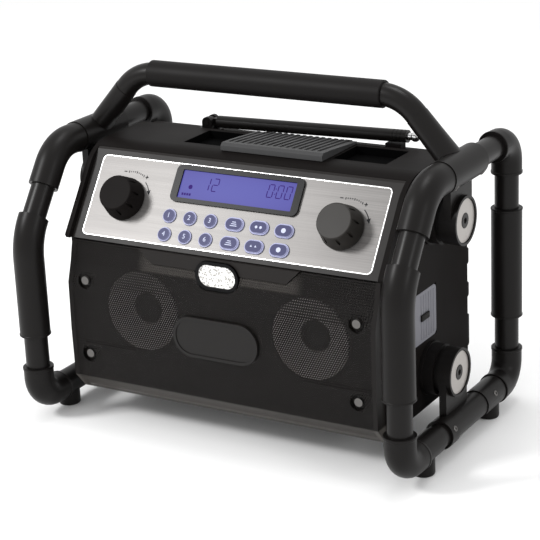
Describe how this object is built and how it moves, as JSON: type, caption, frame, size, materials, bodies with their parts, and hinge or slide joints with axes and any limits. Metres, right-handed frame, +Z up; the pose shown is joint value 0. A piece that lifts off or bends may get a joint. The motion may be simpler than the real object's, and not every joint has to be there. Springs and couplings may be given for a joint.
{
  "type": "jobsite radio",
  "caption": "Rugged jobsite radio: a sloped control panel with display, keys and knobs over a speaker grille, hung on rubber dampers in a tubular roll cage with a carrying handle.",
  "frame": {"origin": "on the ground at the middle of the roll cage", "axes": "+X to the right seen from the front, the control panel faces -Y, +Z up"},
  "size_m": [0.4134, 0.2562, 0.3302],
  "materials": {
    "antenna_plastic": "satin",
    "badge": "satin",
    "bezel": "matte",
    "board": "matte",
    "bolt": "brushed",
    "cage_fitting": "matte",
    "cage_tube": "satin",
    "cover": "matte",
    "damper": "matte",
    "display_frame": "gloss",
    "display_glass": "gloss",
    "grille": "satin",
    "grip": "matte",
    "handle_bar": "satin",
    "housing": "matte",
    "knob": "matte",
    "lens": "gloss",
    "lid": "satin",
    "mast": "polished",
    "oval_key": "matte",
    "panel": "brushed",
    "round_key": "satin",
    "screw": "brushed",
    "shaft": "brushed",
    "speaker": "matte"
  },
  "bodies": {
    "frame": {"antenna_base": "antenna_plastic", "badge_plate": "badge", "bottom_rail_left": "cage_tube", "bottom_rail_right": "cage_tube", "control_board": "board", "control_panel": "panel", "corner_elbows": "cage_fitting", "display_bezel": "display_frame", "foot_tees": "cage_fitting", "front_elbow_left": "cage_fitting", "front_elbow_right": "cage_fitting", "front_housing": "bezel", "front_post_left": "cage_tube", "front_post_right": "cage_tube", "front_sleeve_left": "cage_fitting", "front_sleeve_right": "cage_fitting", "grille": "grille", "grille_screws": "screw", "handle_bar": "handle_bar", "handle_grip": "grip", "lamp_bezel": "display_frame", "lamp_lens": "lens", "lcd_module": "display_glass", "lower_bracket_left": "cage_fitting", "lower_bracket_right": "cage_fitting", "mount_bolts": "bolt", "rear_housing": "housing", "rear_pads": "damper", "rear_posts": "cage_tube", "rear_sleeves": "cage_fitting", "rubber_dampers": "damper", "socket_panel": "board", "speaker_left": "speaker", "speaker_right": "speaker", "top_rail_left": "cage_tube", "top_rail_right": "cage_tube", "top_tee_left": "cage_fitting", "top_tee_right": "cage_fitting"},
    "key_oval_1": {"key_oval_1": "oval_key"},
    "key_oval_2": {"key_oval_2": "oval_key"},
    "key_oval_3": {"key_oval_3": "oval_key"},
    "key_oval_4": {"key_oval_4": "oval_key"},
    "key_oval_5": {"key_oval_5": "oval_key"},
    "key_oval_6": {"key_oval_6": "oval_key"},
    "key_round_1": {"key_round_1": "round_key"},
    "key_round_2": {"key_round_2": "round_key"},
    "key_round_3": {"key_round_3": "round_key"},
    "key_round_4": {"key_round_4": "round_key"},
    "key_round_5": {"key_round_5": "round_key"},
    "key_round_6": {"key_round_6": "round_key"},
    "shaft_left": {"knob_shaft_left": "shaft"},
    "knob_left": {"knob_left": "knob"},
    "shaft_right": {"knob_shaft_right": "shaft"},
    "knob_right": {"knob_right": "knob"},
    "antenna_rod": {"antenna_sleeve": "antenna_plastic"},
    "antenna_mast": {"antenna_mast": "mast"},
    "lid": {"box_lid": "lid"},
    "cover": {"port_cover": "cover"},
    "door": {"battery_door": "housing"}
  },
  "joints": [
    {"name": "key_oval_1_press", "type": "slide", "parent": "frame", "child": "key_oval_1", "axis": [0, 0.8171, -0.5764], "range_m": [0, 0.0008], "stiffness_N_per_m": 1000, "springref_m": -0.0005},
    {"name": "key_oval_2_press", "type": "slide", "parent": "frame", "child": "key_oval_2", "axis": [0, 0.8171, -0.5764], "range_m": [0, 0.0008], "stiffness_N_per_m": 1000, "springref_m": -0.0005},
    {"name": "key_oval_3_press", "type": "slide", "parent": "frame", "child": "key_oval_3", "axis": [0, 0.8171, -0.5764], "range_m": [0, 0.0008], "stiffness_N_per_m": 1000, "springref_m": -0.0005},
    {"name": "key_oval_4_press", "type": "slide", "parent": "frame", "child": "key_oval_4", "axis": [0, 0.8171, -0.5764], "range_m": [0, 0.0008], "stiffness_N_per_m": 1000, "springref_m": -0.0005},
    {"name": "key_oval_5_press", "type": "slide", "parent": "frame", "child": "key_oval_5", "axis": [0, 0.8171, -0.5764], "range_m": [0, 0.0008], "stiffness_N_per_m": 1000, "springref_m": -0.0005},
    {"name": "key_oval_6_press", "type": "slide", "parent": "frame", "child": "key_oval_6", "axis": [0, 0.8171, -0.5764], "range_m": [0, 0.0008], "stiffness_N_per_m": 1000, "springref_m": -0.0005},
    {"name": "key_round_1_press", "type": "slide", "parent": "frame", "child": "key_round_1", "axis": [0, 0.8171, -0.5764], "range_m": [0, 0.0008], "stiffness_N_per_m": 1000, "springref_m": -0.0005},
    {"name": "key_round_2_press", "type": "slide", "parent": "frame", "child": "key_round_2", "axis": [0, 0.8171, -0.5764], "range_m": [0, 0.0008], "stiffness_N_per_m": 1000, "springref_m": -0.0005},
    {"name": "key_round_3_press", "type": "slide", "parent": "frame", "child": "key_round_3", "axis": [0, 0.8171, -0.5764], "range_m": [0, 0.0008], "stiffness_N_per_m": 1000, "springref_m": -0.0005},
    {"name": "key_round_4_press", "type": "slide", "parent": "frame", "child": "key_round_4", "axis": [0, 0.8171, -0.5764], "range_m": [0, 0.0008], "stiffness_N_per_m": 1000, "springref_m": -0.0005},
    {"name": "key_round_5_press", "type": "slide", "parent": "frame", "child": "key_round_5", "axis": [0, 0.8171, -0.5764], "range_m": [0, 0.0008], "stiffness_N_per_m": 1000, "springref_m": -0.0005},
    {"name": "key_round_6_press", "type": "slide", "parent": "frame", "child": "key_round_6", "axis": [0, 0.8171, -0.5764], "range_m": [0, 0.0008], "stiffness_N_per_m": 1000, "springref_m": -0.0005},
    {"name": "knob_left_press", "type": "slide", "parent": "frame", "child": "shaft_left", "axis": [0, 0.8171, -0.5764], "range_m": [0, 0.001], "stiffness_N_per_m": 3000, "springref_m": -0.0005},
    {"name": "knob_left_turn", "type": "hinge", "parent": "shaft_left", "child": "knob_left", "pos_m": [-0.114, -0.06082, 0.21359], "axis": [0, -0.8171, 0.5764], "continuous": true},
    {"name": "knob_right_press", "type": "slide", "parent": "frame", "child": "shaft_right", "axis": [0, 0.8171, -0.5764], "range_m": [0, 0.001], "stiffness_N_per_m": 3000, "springref_m": -0.0005},
    {"name": "knob_right_turn", "type": "hinge", "parent": "shaft_right", "child": "knob_right", "pos_m": [0.114, -0.06082, 0.21359], "axis": [0, -0.8171, 0.5764], "continuous": true},
    {"name": "antenna_fold", "type": "hinge", "parent": "frame", "child": "antenna_rod", "pos_m": [-0.095, 0.062, 0.2609], "axis": [0, -1, 0], "range_deg": [0, 88.7]},
    {"name": "antenna_extend", "type": "slide", "parent": "antenna_rod", "child": "antenna_mast", "axis": [0.9997, 0, 0.0227], "range_m": [0, 0.1703]},
    {"name": "lid_open", "type": "hinge", "parent": "frame", "child": "lid", "pos_m": [0, 0.0524, 0.2562], "axis": [-1, 0, 0], "range_deg": [0, 34]},
    {"name": "cover_open", "type": "hinge", "parent": "frame", "child": "cover", "pos_m": [0.1641, -0.0421, 0.12], "axis": [0, 0, -1], "range_deg": [0, 100]},
    {"name": "door_open", "type": "hinge", "parent": "frame", "child": "door", "pos_m": [0, 0.0853, 0.0557], "axis": [-1, 0, 0], "range_deg": [0, 95]}
  ],
  "couplings": [
    {"joint": "antenna_extend", "follows": "antenna_fold", "m_per_rad": 0.11}
  ]
}
